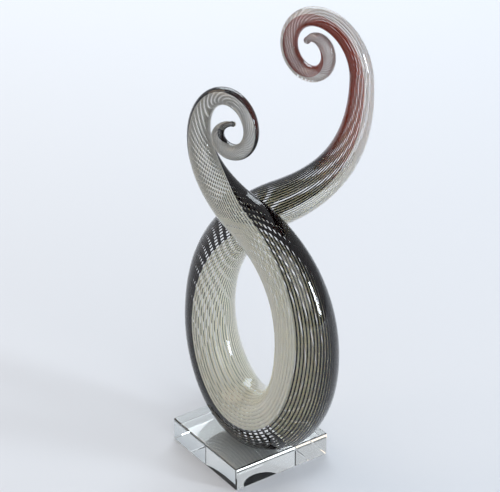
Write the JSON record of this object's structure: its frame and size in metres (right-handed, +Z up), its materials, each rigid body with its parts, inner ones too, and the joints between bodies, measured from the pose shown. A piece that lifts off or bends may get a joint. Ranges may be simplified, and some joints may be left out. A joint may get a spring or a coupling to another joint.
{
  "type": "glass sculpture",
  "caption": "Upright loop of filigree glass rod on a square clear block, with ends that cross above the ring and curl over.",
  "frame": {"origin": "centre of the block's underside", "axes": "+Z up, the ring stands parallel to the XZ plane and is seen face-on from -Y"},
  "size_m": [0.1566, 0.0802, 0.353],
  "materials": {
    "block_glass": "polished clear crystal, faintly green",
    "bond": "clear cured adhesive",
    "casing_glass": "fire-polished clear",
    "core_glass": "clear to milky",
    "dark_glass": "opaque near-black amethyst cane",
    "pale_glass": "opaque cream-white cane"
  },
  "bodies": {
    "root": {"base_block": "block_glass", "bond_film": "bond", "clear_casing": "casing_glass", "core_rod": "core_glass", "dark_cane_01": "dark_glass", "dark_cane_02": "dark_glass", "dark_cane_03": "dark_glass", "dark_cane_04": "dark_glass", "dark_cane_05": "dark_glass", "dark_cane_06": "dark_glass", "dark_cane_07": "dark_glass", "dark_cane_08": "dark_glass", "dark_cane_09": "dark_glass", "dark_cane_10": "dark_glass", "dark_cane_11": "dark_glass", "dark_cane_12": "dark_glass", "pale_cane_01": "pale_glass", "pale_cane_02": "pale_glass", "pale_cane_03": "pale_glass", "pale_cane_04": "pale_glass", "pale_cane_05": "pale_glass", "pale_cane_06": "pale_glass", "pale_cane_07": "pale_glass", "pale_cane_08": "pale_glass", "pale_cane_09": "pale_glass", "pale_cane_10": "pale_glass", "pale_cane_11": "pale_glass", "pale_cane_12": "pale_glass"}
  },
  "joints": []
}
